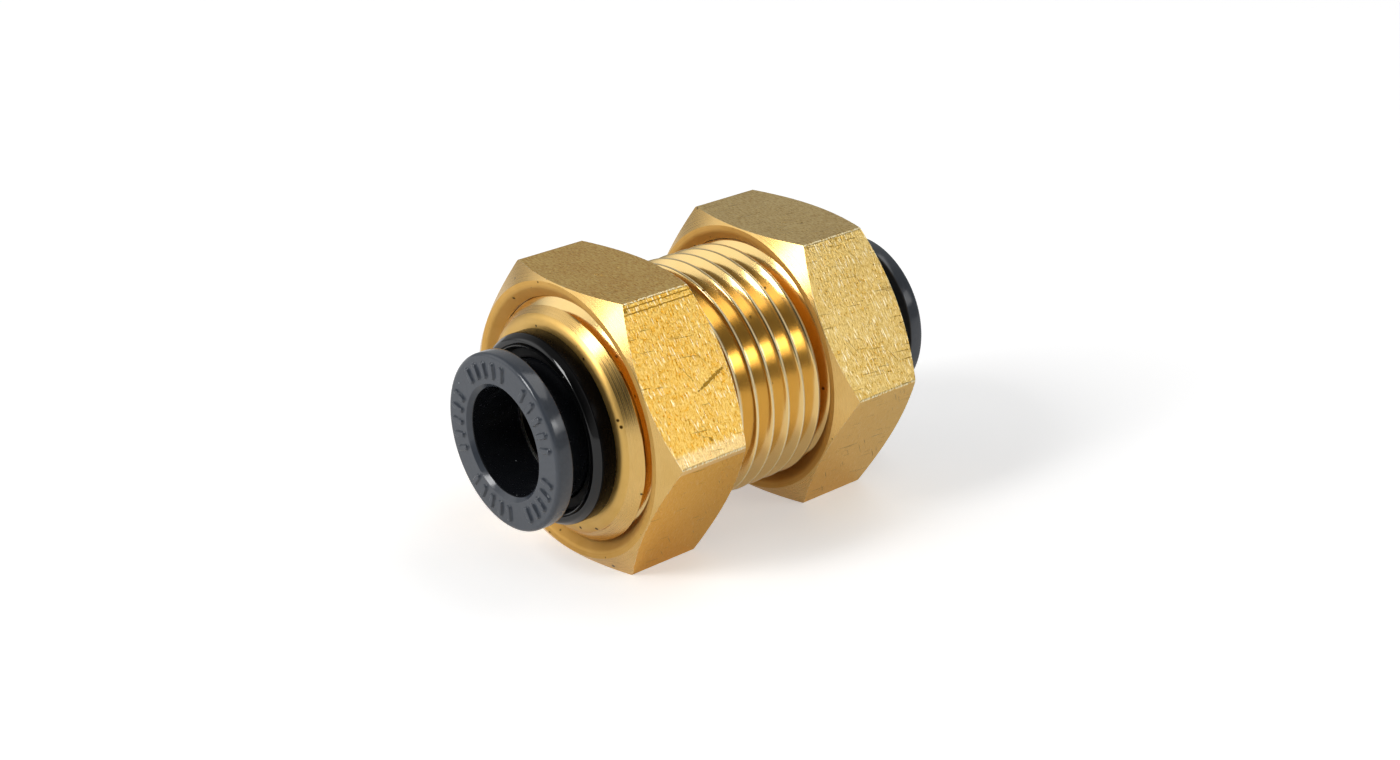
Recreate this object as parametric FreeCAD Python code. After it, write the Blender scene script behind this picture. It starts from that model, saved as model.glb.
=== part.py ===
import FreeCAD, Part
import math
import os

# Bulkhead tank connector, push-in at both ends, in millimetres.
# X runs along the tube, Z is up, and the origin is the middle of the body on its axis.
# Radii build outwards from the tube, and lengths build inwards from each end face of the body.

# Tube and the clearances round it
tube_diameter = 9.525  # 3/8 in tube
socket_clearance = 0.0375  # in the body's socket
button_bore_clearance = 0.1375
grip_clearance = 0.0675  # at the chuck's edges and the seal's lip, drawn opened by the tube
flow_bore_diameter = 7.5

# Release button
sleeve_wall = 1.4
flange_width = 1.7  # from the sleeve out to the flange's edge
flange_thickness = 1.6
flange_front_rounding = 0.4
flange_back_rounding = 0.15
mouth_chamfer = 0.4
bead_height = 0.45  # snap bead that keeps the button in the guide
bead_length = 0.35
button_travel = 1.65
travel_stop_gap = 0.2  # left between flange and guide at the end of the travel

# Guide
guide_protrusion = 2.1  # flange outside the body's end face
guide_flange_overhang = 0.66
guide_nose_chamfer = 0.42  # the rim's front is that much narrower than the flange
guide_nose_length = 0.65
guide_nose_rounding = 0.25
guide_rim = 0.64  # flat rim round the recess that the button's flange faces
guide_inner_rounding = 0.15
recess_draft = 0.35
recess_depth = 0.9
lip_thickness = 0.55
lip_clearance = 0.12  # between the lip and the button's sleeve
bead_clearance = 0.1  # along the axis, between the lip and the bead
chamber_clearance = 0.2  # round the bead
wedge_rise = 0.35
wedge_start = 2.0  # along the axis, from the body's end face
wedge_length = 2.6
guide_wall = 0.68  # at the wide end of the wedge
guide_fit = 0.02  # round the spigot and the seal in the body's bore

# Chuck and collet
chuck_thickness = 0.25
chuck_relief = 0.52  # from the gripping edges out to the sleeve between them
chuck_length = 5.15
chuck_gap = 0.05  # between the button's nose and the chuck, and round the chuck
chuck_slots = 8
chuck_slot_width = 0.5
chuck_slot_length = 4.2
collet_setback = 0.35  # the collet starts that far behind the chuck's front
collet_clearance = 0.3  # round the collet in the guide
collet_shoulder = 0.35  # thickness of the shoulder behind the chuck
collet_shoulder_clearance = 0.12
collet_slots = 4
collet_slot_width = 1.0
collet_slot_length = 3.6

# Seal
seal_gap = 0.1  # left in front of the seal at the end of the travel
seal_length = 2.4
seal_lip_slope = 0.57  # the lip's mouth is that much wider than its edge
seal_lip_thickness = 0.7
seal_groove_width = 1.0
seal_groove_depth = 1.1

# Body
body_wall = 3.1125  # from the guide's bore out to the thread's crest: a 7/8 in thread
end_chamfer = 1.6
socket_length = 3.8
socket_lead_in = 0.3
web_length = 5.1  # between the two tube stops

# Thread on the body
thread_pitch = 1.8143  # 14 threads per inch
thread_crest = 0.227  # flat left between two turns of the groove
thread_root = 0.302  # flat at the bottom of the groove
thread_flank_angle = 30  # each side, from the radius
thread_start = 1.49  # from the end face to the middle of the groove's first turn
thread_start_angle = 84  # round the axis, from +Y towards +Z
thread_cutter_margin = 0.1  # the cutter reaches that far outside the crest

# Hex nuts
nut_wall = 1.5875  # at the flats, outside the thread's crest: 1 in across the flats
nut_clearance = 0.05  # round the thread
nut_thickness = 9.29
nut_gap = 11.05  # between the two nuts
nut_chamfer_inset = 0.1  # the chamfer starts that far inside the flats
nut_chamfer_angle = 30
countersink = 0.86
barrel_margin = 0.5  # the chamfering barrel is that much wider than the corners

# Radii from the tube outwards
tube_radius = tube_diameter / 2
flow_radius = flow_bore_diameter / 2
socket_radius = tube_radius + socket_clearance
button_bore_radius = tube_radius + button_bore_clearance
grip_radius = tube_radius + grip_clearance
sleeve_radius = button_bore_radius + sleeve_wall
bead_radius = sleeve_radius + bead_height
flange_radius = sleeve_radius + flange_width
lip_radius = sleeve_radius + lip_clearance
chamber_radius = bead_radius + chamber_clearance
wedge_radius = chamber_radius + wedge_rise
spigot_radius = wedge_radius + guide_wall
guide_bore_radius = spigot_radius + guide_fit
guide_flange_radius = guide_bore_radius + guide_flange_overhang
guide_nose_radius = guide_flange_radius - guide_nose_chamfer
recess_radius = guide_nose_radius - guide_rim
chuck_inner_radius = grip_radius + chuck_relief
chuck_outer_radius = chuck_inner_radius + chuck_thickness
collet_bore_radius = chuck_outer_radius + chuck_gap
collet_shoulder_radius = grip_radius + collet_shoulder_clearance
thread_radius = guide_bore_radius + body_wall
nut_bore_radius = thread_radius + nut_clearance
flat_radius = thread_radius + nut_wall
corner_radius = flat_radius / math.cos(math.radians(30))

# Depths from the body's end face inwards, negative outside it
guide_front = -guide_protrusion
flange_back = guide_front - travel_stop_gap - button_travel
button_front = flange_back - flange_thickness
lip_front = guide_front + recess_depth
lip_back = lip_front + lip_thickness
bead_front = lip_back + bead_clearance
nose_end = bead_front + bead_length
chuck_front = nose_end + chuck_gap
chuck_end = chuck_front + chuck_length
collet_front = chuck_front + collet_setback
shoulder_front = chuck_end + chuck_gap
collet_end = shoulder_front + collet_shoulder
wedge_end = wedge_start + wedge_length
seal_front = collet_end + button_travel + seal_gap
seal_end = seal_front + seal_length
tube_stop = seal_end + socket_length
body_length = 2 * tube_stop + web_length

# Groove of the thread
flank_slope = math.tan(math.radians(thread_flank_angle))
thread_depth = (thread_pitch - thread_crest - thread_root) / 2 / flank_slope

origin = FreeCAD.Vector(0, 0, 0)
axis = FreeCAD.Vector(1, 0, 0)


def left(depth):
    """The x of a depth measured inwards from the body's left end face."""
    return depth - body_length / 2


def turned(corners):
    """A solid turned about X from its half section. A corner is (x, radius) or (x, radius, rounding)."""
    points = [FreeCAD.Vector(corner[0], corner[1], 0) for corner in corners]
    roundings = [corner[2] if len(corner) > 2 else 0 for corner in corners]
    edges = []
    arrivals = []
    departures = []
    for i, here in enumerate(points):
        to_last = (points[i - 1] - here).normalize()
        to_next = (points[(i + 1) % len(points)] - here).normalize()
        half_angle = to_last.getAngle(to_next) / 2
        run = roundings[i] / math.tan(half_angle)
        arrivals.append(here + to_last * run)
        departures.append(here + to_next * run)
        if roundings[i] > 0:
            inwards = (to_last + to_next).normalize()
            middle = here + inwards * (roundings[i] / math.sin(half_angle) - roundings[i])
            edges.append(Part.Arc(arrivals[i], middle, departures[i]).toShape())
    for i, start in enumerate(departures):
        edges.append(Part.LineSegment(start, arrivals[(i + 1) % len(points)]).toShape())
    outline = Part.Wire(Part.__sortEdges__(edges))
    return Part.Face(outline).revolve(origin, axis, 360)


def slotted(solid, count, width, start, end, reach):
    """Cuts radial slots of that width, evenly round X, between two places along it."""
    slot = Part.makeBox(end - start, width, reach, FreeCAD.Vector(start, -width / 2, 0))
    slots = []
    for i in range(count):
        copy = slot.copy()
        copy.rotate(origin, axis, 360 * i / count)
        slots.append(copy)
    return solid.cut(slots)


def thread_groove():
    """Cutter for the thread: a flat-bottomed V swept along one right-hand helix from end to end."""
    root_radius = thread_radius - thread_depth
    cutter_radius = thread_radius + thread_cutter_margin
    root_half = thread_root / 2
    mouth_half = root_half + (cutter_radius - root_radius) * flank_slope
    corners = [
        FreeCAD.Vector(root_radius, 0, -root_half),
        FreeCAD.Vector(cutter_radius, 0, -mouth_half),
        FreeCAD.Vector(cutter_radius, 0, mouth_half),
        FreeCAD.Vector(root_radius, 0, root_half),
    ]
    section = Part.makePolygon(corners + corners[:1])
    helix = Part.makeLongHelix(thread_pitch, body_length - 2 * thread_start, root_radius)
    groove = Part.Wire(helix.Edges).makePipeShell([section], True, True)
    groove.rotate(origin, FreeCAD.Vector(0, 1, 0), 90)  # from Z, where a helix is made, to X
    groove.rotate(origin, axis, thread_start_angle + 90)
    groove.translate(axis * left(thread_start))
    return groove


def brass_body():
    """Barrel with one thread along its whole length, bored alike from both ends for seal, guide and tube."""
    left_side = [
        (left(tube_stop), flow_radius),
        (left(tube_stop), socket_radius),
        (left(seal_end + socket_lead_in), socket_radius),
        (left(seal_end), socket_radius + socket_lead_in),
        (left(seal_end), guide_bore_radius),
        (left(0), guide_bore_radius),
        (left(0), thread_radius - end_chamfer),
        (left(end_chamfer), thread_radius),
    ]
    right_side = [(-x, radius) for x, radius in reversed(left_side)]
    return turned(left_side + right_side).cut(thread_groove())


def guide():
    """Ring pressed into the body: outer flange, retaining lip, and the wedge that closes the collet."""
    return turned([
        (left(guide_front), recess_radius, guide_inner_rounding),
        (left(guide_front), guide_nose_radius, guide_nose_rounding),
        (left(guide_front + guide_nose_length), guide_flange_radius, guide_nose_rounding),
        (left(0), guide_flange_radius),
        (left(0), spigot_radius),
        (left(seal_front), spigot_radius),
        (left(seal_front), wedge_radius),
        (left(wedge_end), wedge_radius),
        (left(wedge_start), chamber_radius),
        (left(lip_back), chamber_radius),
        (left(lip_back), lip_radius),
        (left(lip_front), lip_radius),
        (left(lip_front), recess_radius - recess_draft),
    ])


def release_button():
    """Flanged sleeve round the tube, with a rounded flange and a snap bead at its nose."""
    return turned([
        (left(button_front), button_bore_radius + mouth_chamfer),
        (left(button_front), flange_radius, flange_front_rounding),
        (left(flange_back), flange_radius, flange_back_rounding),
        (left(flange_back), sleeve_radius),
        (left(bead_front), sleeve_radius),
        (left(bead_front), bead_radius),
        (left(nose_end), sleeve_radius),
        (left(nose_end), button_bore_radius),
        (left(button_front + mouth_chamfer), button_bore_radius),
    ])


def chuck():
    """Thin ring with both edges turned in to the tube, slotted into fingers from its inner end."""
    ring = turned([
        (left(chuck_front), grip_radius),
        (left(chuck_front), chuck_outer_radius),
        (left(chuck_end), chuck_outer_radius),
        (left(chuck_end), grip_radius),
        (left(chuck_end - chuck_thickness), grip_radius),
        (left(chuck_end - chuck_thickness), chuck_inner_radius),
        (left(chuck_front + chuck_thickness), chuck_inner_radius),
        (left(chuck_front + chuck_thickness), grip_radius),
    ])
    slot_start = left(chuck_end - chuck_slot_length)
    slot_end = left(collet_end)
    return slotted(ring, chuck_slots, chuck_slot_width, slot_start, slot_end, corner_radius)


def collet():
    """Slotted sleeve round the chuck. Its cone follows the guide's wedge, and its shoulder backs the chuck."""
    sleeve = turned([
        (left(collet_front), collet_bore_radius),
        (left(collet_front), chamber_radius - collet_clearance),
        (left(wedge_start), chamber_radius - collet_clearance),
        (left(wedge_end), wedge_radius - collet_clearance),
        (left(collet_end), wedge_radius - collet_clearance),
        (left(collet_end), collet_shoulder_radius),
        (left(shoulder_front), collet_shoulder_radius),
        (left(shoulder_front), collet_bore_radius),
    ])
    slot_start = left(collet_end - collet_slot_length)
    slot_end = left(seal_front)
    return slotted(sleeve, collet_slots, collet_slot_width, slot_start, slot_end, corner_radius)


def tube_seal():
    """Rubber ring between the guide and the body's shoulder, grooved behind the lip that meets the tube."""
    groove_inner = grip_radius + seal_lip_thickness
    groove_outer = groove_inner + seal_groove_width
    return turned([
        (left(seal_front), grip_radius + seal_lip_slope),
        (left(seal_front), spigot_radius),
        (left(seal_end), spigot_radius),
        (left(seal_end), groove_outer),
        (left(seal_end - seal_groove_depth), (groove_inner + groove_outer) / 2),
        (left(seal_end), groove_inner),
        (left(seal_end), grip_radius),
    ])


def hex_nut():
    """Hexagon with a flat below, both rims chamfered, bored over the thread and countersunk."""
    inner_face = -nut_gap / 2
    outer_face = inner_face - nut_thickness
    corners = []
    for i in range(7):
        angle = math.radians(60 * i)
        y = corner_radius * math.cos(angle)
        z = corner_radius * math.sin(angle)
        corners.append(FreeCAD.Vector(outer_face, y, z))
    hexagon = Part.Face(Part.makePolygon(corners)).extrude(axis * nut_thickness)
    chamfer_radius = flat_radius - nut_chamfer_inset
    barrel_radius = corner_radius + barrel_margin
    chamfer_depth = (barrel_radius - chamfer_radius) * math.tan(math.radians(nut_chamfer_angle))
    barrel = turned([
        (outer_face, 0),
        (outer_face, chamfer_radius),
        (outer_face + chamfer_depth, barrel_radius),
        (inner_face - chamfer_depth, barrel_radius),
        (inner_face, chamfer_radius),
        (inner_face, 0),
    ])
    hole = turned([
        (outer_face, 0),
        (outer_face, nut_bore_radius + countersink),
        (outer_face + countersink, nut_bore_radius),
        (inner_face - countersink, nut_bore_radius),
        (inner_face, nut_bore_radius + countersink),
        (inner_face, 0),
    ])
    return hexagon.common(barrel).cut(hole)


def save(name, shape):
    """Writes one piece as a single valid solid."""
    solid = shape.Solids[0]
    print(name, "solids", len(shape.Solids), "valid", solid.isValid(), "volume", round(solid.Volume, 3))
    solid.exportStep(os.path.join("parts", name + ".step"))


os.makedirs("parts", exist_ok=True)
save("brass_body", brass_body())
pieces_at_each_end = {
    "nut": hex_nut,
    "guide": guide,
    "release_button": release_button,
    "chuck": chuck,
    "collet": collet,
    "tube_seal": tube_seal,
}
for name, make in pieces_at_each_end.items():
    piece = make()
    save("left_" + name, piece)
    save("right_" + name, piece.mirror(origin, axis))
print("body length", round(body_length, 3), "overall length", round(body_length - 2 * button_front, 3))
print("thread diameter", round(2 * thread_radius, 3), "across flats", round(2 * flat_radius, 3))
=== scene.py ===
import bmesh
import bpy
import math
import numpy as np
from mathutils import Matrix, Vector


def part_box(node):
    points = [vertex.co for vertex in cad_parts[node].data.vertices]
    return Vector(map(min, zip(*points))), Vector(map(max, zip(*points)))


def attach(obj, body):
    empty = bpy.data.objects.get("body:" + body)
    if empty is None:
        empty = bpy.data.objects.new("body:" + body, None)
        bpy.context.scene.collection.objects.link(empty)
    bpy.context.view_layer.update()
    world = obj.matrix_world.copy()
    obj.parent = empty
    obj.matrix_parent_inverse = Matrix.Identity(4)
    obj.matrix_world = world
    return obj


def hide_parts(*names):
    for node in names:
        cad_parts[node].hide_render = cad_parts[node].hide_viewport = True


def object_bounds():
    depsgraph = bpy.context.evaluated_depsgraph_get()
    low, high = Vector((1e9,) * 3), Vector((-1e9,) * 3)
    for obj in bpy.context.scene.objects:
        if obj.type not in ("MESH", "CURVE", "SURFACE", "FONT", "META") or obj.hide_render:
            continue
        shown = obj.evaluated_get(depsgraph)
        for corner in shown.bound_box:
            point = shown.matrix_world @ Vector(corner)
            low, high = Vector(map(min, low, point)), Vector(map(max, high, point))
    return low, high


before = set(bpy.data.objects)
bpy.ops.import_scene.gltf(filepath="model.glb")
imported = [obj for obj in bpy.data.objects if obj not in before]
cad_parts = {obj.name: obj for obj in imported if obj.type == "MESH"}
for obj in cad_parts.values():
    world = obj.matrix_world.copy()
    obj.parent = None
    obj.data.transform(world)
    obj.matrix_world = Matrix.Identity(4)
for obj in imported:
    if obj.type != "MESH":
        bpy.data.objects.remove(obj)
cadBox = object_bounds()
mm = 0.001  # sizes below are in millimetres and become metres in the mesh
tolerance = 1e-6  # slack where two lengths are compared
endSigns = {"left": -1, "right": 1}  # which way each end of the fitting looks along x


# Colours and nodes

def linearColour(hexCode):  # sRGB hex to the linear colour that a shader takes
    channels = np.array([int(hexCode[i:i + 2], 16) for i in (1, 3, 5)]) / 255
    linear = np.where(channels <= 0.04045, channels / 12.92, ((channels + 0.055) / 1.055) ** 2.4)
    return (*linear.tolist(), 1.0)


def perMetre(sizeMm):  # texture scale that gives a pattern of that size on Object coordinates
    return 1000 / sizeMm


def addNode(tree, kind, inputs=None, **settings):
    # inputs go by name or number: a value is set, a socket is linked
    item = tree.nodes.new(kind)
    for key, value in settings.items():
        setattr(item, key, value)
    for key, value in (inputs or {}).items():
        if isinstance(value, bpy.types.NodeSocket):
            tree.links.new(value, item.inputs[key])
        else:
            item.inputs[key].default_value = value
    return item


def newMaterial(name):  # an empty material and its node tree
    material = bpy.data.materials.new(name)
    material.use_nodes = True
    material.node_tree.nodes.clear()
    return material, material.node_tree


def endMaterial(tree, shader):
    addNode(tree, "ShaderNodeOutputMaterial", {"Surface": shader.outputs[0]})


# Materials

noiseSpread = {1: 0.3, 2: 0.7}  # limits for Map Range that hold most of a noise texture's values
fineRelief = 0.02 * mm  # height of the lathe's rings and of the moulding's flow
pitEdge, dustEdge = 1.6, 1.5  # a pit or a speck fades out at that many times its size
scratchEdge = 0.05  # a scratch fades in over that much of its noise


def axisDistance(tree):  # distance from the axis plus distance along it, which turning marks follow
    place = addNode(tree, "ShaderNodeTexCoord").outputs["Object"]
    across = addNode(tree, "ShaderNodeVectorMath", {0: place, 1: (0, 1, 1)},
                     operation="MULTIPLY").outputs[0]
    radius = addNode(tree, "ShaderNodeVectorMath", {0: across}, operation="LENGTH").outputs["Value"]
    along = addNode(tree, "ShaderNodeSeparateXYZ", {0: place}).outputs["X"]
    return place, addNode(tree, "ShaderNodeMath", {0: radius, 1: along}, operation="ADD").outputs[0]


def pitMask(tree, place, scale, share):  # 1 inside small pits, one or none to a cell and none alike
    cells = addNode(tree, "ShaderNodeTexVoronoi", {"Vector": place, "Scale": scale})
    chance = addNode(tree, "ShaderNodeSeparateColor", {0: cells.outputs["Color"]}).outputs[0]
    depth = addNode(tree, "ShaderNodeMath", {0: cells.outputs["Distance"], 1: chance},
                    operation="DIVIDE").outputs[0]
    return addNode(tree, "ShaderNodeMapRange",
                   {0: depth, 1: share, 2: share * pitEdge, 3: 1.0, 4: 0.0}).outputs[0]


def turnedBrass(name, look):
    # free-cutting brass off the lathe: fine rings left by the tool, a few pits, a thin film of oil
    material, tree = newMaterial(name)
    place, travel = axisDistance(tree)
    ringCount = addNode(tree, "ShaderNodeMath", {0: travel, 1: perMetre(look["ringMm"])},
                        operation="MULTIPLY").outputs[0]
    rings = addNode(tree, "ShaderNodeTexNoise", {"W": ringCount, "Scale": 1.0, "Detail": 2.0},
                    noise_dimensions="1D").outputs[0]
    cloud = addNode(tree, "ShaderNodeTexNoise",
                    {"Vector": place, "Scale": perMetre(look["cloudMm"]), "Detail": 4.0}).outputs[0]
    tone = addNode(tree, "ShaderNodeMix",
                   {0: cloud, 6: linearColour(look["deep"]), 7: linearColour(look["pale"])},
                   data_type="RGBA").outputs[2]
    pits = pitMask(tree, place, perMetre(look["pitEveryMm"]), look["pitShare"])
    pitted = addNode(tree, "ShaderNodeMix", {0: pits, 6: tone, 7: linearColour(look["pit"])},
                     data_type="RGBA").outputs[2]
    roughness = addNode(tree, "ShaderNodeMapRange",
                        {0: rings, **noiseSpread, 3: look["smooth"], 4: look["rough"]}).outputs[0]
    bump = addNode(tree, "ShaderNodeBump",
                   {"Strength": look["ringBump"], "Distance": fineRelief, "Height": rings}).outputs[0]
    shader = addNode(tree, "ShaderNodeBsdfPrincipled", {
        "Base Color": pitted, "Metallic": 1.0, "Roughness": roughness, "Normal": bump,
        "Coat Weight": look["film"], "Coat Roughness": look["smooth"]})
    endMaterial(tree, shader)
    return material


def flatNoise(tree, flat, acrossMm, alongMm, detail):  # noise on a flat, that big along x and along the arc
    scaled = addNode(tree, "ShaderNodeVectorMath", {0: flat, 1: (1 / acrossMm, 1 / alongMm, 0)},
                     operation="MULTIPLY").outputs[0]
    return addNode(tree, "ShaderNodeTexNoise",
                   {"Vector": scaled, "Scale": 1.0, "Detail": detail, "Roughness": 0.6},
                   noise_dimensions="2D").outputs[0]


def scratches(tree, flat, lengthMm, widthMm, turnDegrees, threshold):
    # streaks of that size, where the noise passes the threshold
    turned = addNode(tree, "ShaderNodeMapping",
                     {"Vector": flat, "Rotation": (0, 0, math.radians(turnDegrees))}).outputs[0]
    noise = flatNoise(tree, turned, widthMm, lengthMm, detail=1.0)
    return addNode(tree, "ShaderNodeMapRange",
                   {0: noise, 1: threshold, 2: threshold + scratchEdge}).outputs[0]


def drawnBrass(name, look):
    # hexagon bar as drawn: streaky skin, pale rubs carrying painted glints, dark hairlines, die lines, pits
    # and worn edges, and a painted reflection on the lower flats
    # the flatPlace attribute gives millimetres along x and round the outline, and how worn an edge is
    material, tree = newMaterial(name)
    place = addNode(tree, "ShaderNodeAttribute", attribute_name="flatPlace").outputs["Vector"]
    flat = addNode(tree, "ShaderNodeVectorMath", {0: place, 1: (1, 1, 0)}, operation="MULTIPLY").outputs[0]
    arc, edge = addNode(tree, "ShaderNodeSeparateXYZ", {0: place}).outputs[1:3]

    # skin: streaks, specks and clouds between two tones, and a painted reflection: a warmer, deeper colour on
    # the lower flats
    streaks = flatNoise(tree, flat, *look["streakMm"], detail=3.0)
    specks = flatNoise(tree, flat, look["speckMm"], look["speckMm"], detail=2.0)
    cloud = flatNoise(tree, flat, look["cloudMm"], look["cloudMm"], detail=2.0)
    skin = addNode(tree, "ShaderNodeMix", {0: look["speckShare"], 2: streaks, 3: specks}).outputs[0]
    mottle = addNode(tree, "ShaderNodeMath", {0: cloud, 1: look["cloudShare"], 2: skin},
                     operation="MULTIPLY_ADD").outputs[0]
    middle = 0.5 + 0.5 * look["cloudShare"]  # mean of the mottle
    share = addNode(tree, "ShaderNodeMapRange",
                    {0: mottle, 1: middle - look["toneSpread"], 2: middle + look["toneSpread"]}).outputs[0]
    mixed = addNode(tree, "ShaderNodeMix",
                    {0: share, 6: linearColour(look["deep"]), 7: linearColour(look["pale"])},
                    data_type="RGBA").outputs[2]
    # painted reflection: the lower flats take a warmer colour
    underWithPaintedReflection = addNode(tree, "ShaderNodeMath", {0: arc, 1: look["underArc"]},
                    operation="GREATER_THAN").outputs[0]
    underPaintedReflectionShare = addNode(tree, "ShaderNodeMath", {0: underWithPaintedReflection, 1: look["underPaintedReflectionShare"]},
                         operation="MULTIPLY").outputs[0]
    tone = addNode(tree, "ShaderNodeMix", {0: underPaintedReflectionShare, 6: mixed, 7: linearColour(look["underWithPaintedReflection"])},
                   data_type="RGBA").outputs[2]
    ragged = addNode(tree, "ShaderNodeMath", {0: skin, 1: look["raggedMm"], 2: arc},
                     operation="MULTIPLY_ADD").outputs[0]

    # bare metal: flecks, bands along the bar and worn edges; the flecks are rubbed metal whose near-white
    # colour is a painted glint, gathered on the flat that faces the front softbox
    flecks = scratches(tree, flat, look["rubLengthMm"], look["rubWidthMm"], look["rubTurn"],
                       look["rubThreshold"])
    side = addNode(tree, "ShaderNodeMath", {0: arc, 1: look["rubArc"], 2: look["rubHalf"]},
                   operation="COMPARE").outputs[0]
    sideShare = addNode(tree, "ShaderNodeMapRange", {0: side, 3: look["rubElsewhere"], 4: 1.0}).outputs[0]
    bareAndPaintedGlints = addNode(tree, "ShaderNodeMath", {0: flecks, 1: sideShare}, operation="MULTIPLY").outputs[0]
    for bandStart, bandSoft, bandShare in look["paleBands"]:
        band = addNode(tree, "ShaderNodeMapRange",
                       {0: ragged, 1: bandStart, 2: bandStart + bandSoft, 3: 0.0, 4: bandShare}).outputs[0]
        below = addNode(tree, "ShaderNodeMath", {0: arc, 1: bandStart + look["bandReach"]},
                        operation="LESS_THAN").outputs[0]
        faint = addNode(tree, "ShaderNodeMath", {0: band, 1: below}, operation="MULTIPLY").outputs[0]
        bareAndPaintedGlints = addNode(tree, "ShaderNodeMath", {0: bareAndPaintedGlints, 1: faint}, operation="MAXIMUM").outputs[0]
    worn = addNode(tree, "ShaderNodeMath", {0: skin, 1: edge}, operation="MULTIPLY").outputs[0]
    wornShare = addNode(tree, "ShaderNodeMapRange",
                        {0: worn, 1: look["wornFrom"], 2: look["wornFull"]}).outputs[0]
    bareAndPaintedGlints = addNode(tree, "ShaderNodeMath", {0: bareAndPaintedGlints, 1: wornShare}, operation="MAXIMUM").outputs[0]
    # painted glint: the rubs take a near-white colour
    rubbedWithPaintedGlints = addNode(tree, "ShaderNodeMix", {0: bareAndPaintedGlints, 6: tone, 7: linearColour(look["rubPaintedGlint"])},
                     data_type="RGBA").outputs[2]

    # dark marks: pits, hairlines, gouges and lines left by the die
    dark = pitMask(tree, flat, 1 / look["pitEveryMm"], look["pitShare"])
    for turn, harder in look["lineTurns"]:
        lines = scratches(tree, flat, look["lineLengthMm"], look["lineWidthMm"], turn,
                          look["lineThreshold"] + harder)
        dark = addNode(tree, "ShaderNodeMath", {0: dark, 1: lines}, operation="MAXIMUM").outputs[0]
    for gougePlace, gougeTurn, gougeHalf in look["gouges"]:
        local = addNode(tree, "ShaderNodeMapping",
                        {"Vector": flat, "Location": (*gougePlace, 0),
                         "Rotation": (0, 0, math.radians(gougeTurn)), "Scale": (*gougeHalf, 1)},
                        vector_type="TEXTURE").outputs[0]
        reach = addNode(tree, "ShaderNodeVectorMath", {0: local}, operation="LENGTH").outputs["Value"]
        torn = addNode(tree, "ShaderNodeMath", {0: specks, 1: look["gougeTear"], 2: reach},
                       operation="MULTIPLY_ADD").outputs[0]
        gouge = addNode(tree, "ShaderNodeMapRange",
                        {0: torn, 1: look["gougeFull"], 2: look["gougeGone"], 3: 1.0, 4: 0.0}).outputs[0]
        dark = addNode(tree, "ShaderNodeMath", {0: dark, 1: gouge}, operation="MAXIMUM").outputs[0]
    for lineArc in look["dieLines"]:
        line = addNode(tree, "ShaderNodeMath", {0: ragged, 1: lineArc, 2: look["dieLineHalf"]},
                       operation="COMPARE").outputs[0]
        dark = addNode(tree, "ShaderNodeMath", {0: dark, 1: line}, operation="MAXIMUM").outputs[0]
    lined = addNode(tree, "ShaderNodeMix", {0: dark, 6: rubbedWithPaintedGlints, 7: linearColour(look["line"])},
                    data_type="RGBA").outputs[2]

    # gloss follows the mottle, and the skin and the dark marks stand out and in
    roughness = addNode(tree, "ShaderNodeMapRange",
                        {0: mottle, 1: middle - look["glossSpread"], 2: middle + look["glossSpread"],
                         3: look["smooth"], 4: look["rough"]}).outputs[0]
    even = addNode(tree, "ShaderNodeMapRange", {0: underWithPaintedReflection, 3: 1.0, 4: look["underRelief"]}).outputs[0]
    raised = addNode(tree, "ShaderNodeMath", {0: skin, 1: even}, operation="MULTIPLY").outputs[0]
    relief = addNode(tree, "ShaderNodeMath", {0: raised, 1: dark}, operation="SUBTRACT").outputs[0]
    bump = addNode(tree, "ShaderNodeBump",
                   {"Strength": 1.0, "Distance": look["skinReliefMm"] * mm, "Height": relief}).outputs[0]
    shader = addNode(tree, "ShaderNodeBsdfPrincipled", {
        "Base Color": lined, "Metallic": 1.0, "Roughness": roughness, "Normal": bump})
    endMaterial(tree, shader)
    return material


def mouldedPlastic(name, look):
    # injection-moulded resin or rubber: even colour, a faint flow texture, specks of dust
    material, tree = newMaterial(name)
    place = addNode(tree, "ShaderNodeTexCoord").outputs["Object"]
    flow = addNode(tree, "ShaderNodeTexNoise",
                   {"Vector": place, "Scale": perMetre(look["flowMm"]), "Detail": 3.0}).outputs[0]
    tone = addNode(tree, "ShaderNodeMix",
                   {0: flow, 6: linearColour(look["deep"]), 7: linearColour(look["pale"])},
                   data_type="RGBA").outputs[2]
    cells = addNode(tree, "ShaderNodeTexVoronoi",
                    {"Vector": place, "Scale": perMetre(look["dustEveryMm"])}).outputs[0]
    clean = addNode(tree, "ShaderNodeMapRange",
                    {0: cells, 1: look["dustShare"], 2: look["dustShare"] * dustEdge,
                     3: 0.0, 4: 1.0}).outputs[0]
    dusty = addNode(tree, "ShaderNodeMix", {0: clean, 6: linearColour(look["dust"]), 7: tone},
                    data_type="RGBA").outputs[2]
    roughness = addNode(tree, "ShaderNodeMapRange",
                        {0: flow, **noiseSpread, 3: look["smooth"], 4: look["rough"]}).outputs[0]
    bump = addNode(tree, "ShaderNodeBump",
                   {"Strength": look["flowBump"], "Distance": fineRelief, "Height": flow}).outputs[0]
    shader = addNode(tree, "ShaderNodeBsdfPrincipled", {
        "Base Color": dusty, "Roughness": roughness, "Normal": bump, "IOR": look["ior"]})
    endMaterial(tree, shader)
    return material


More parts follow.
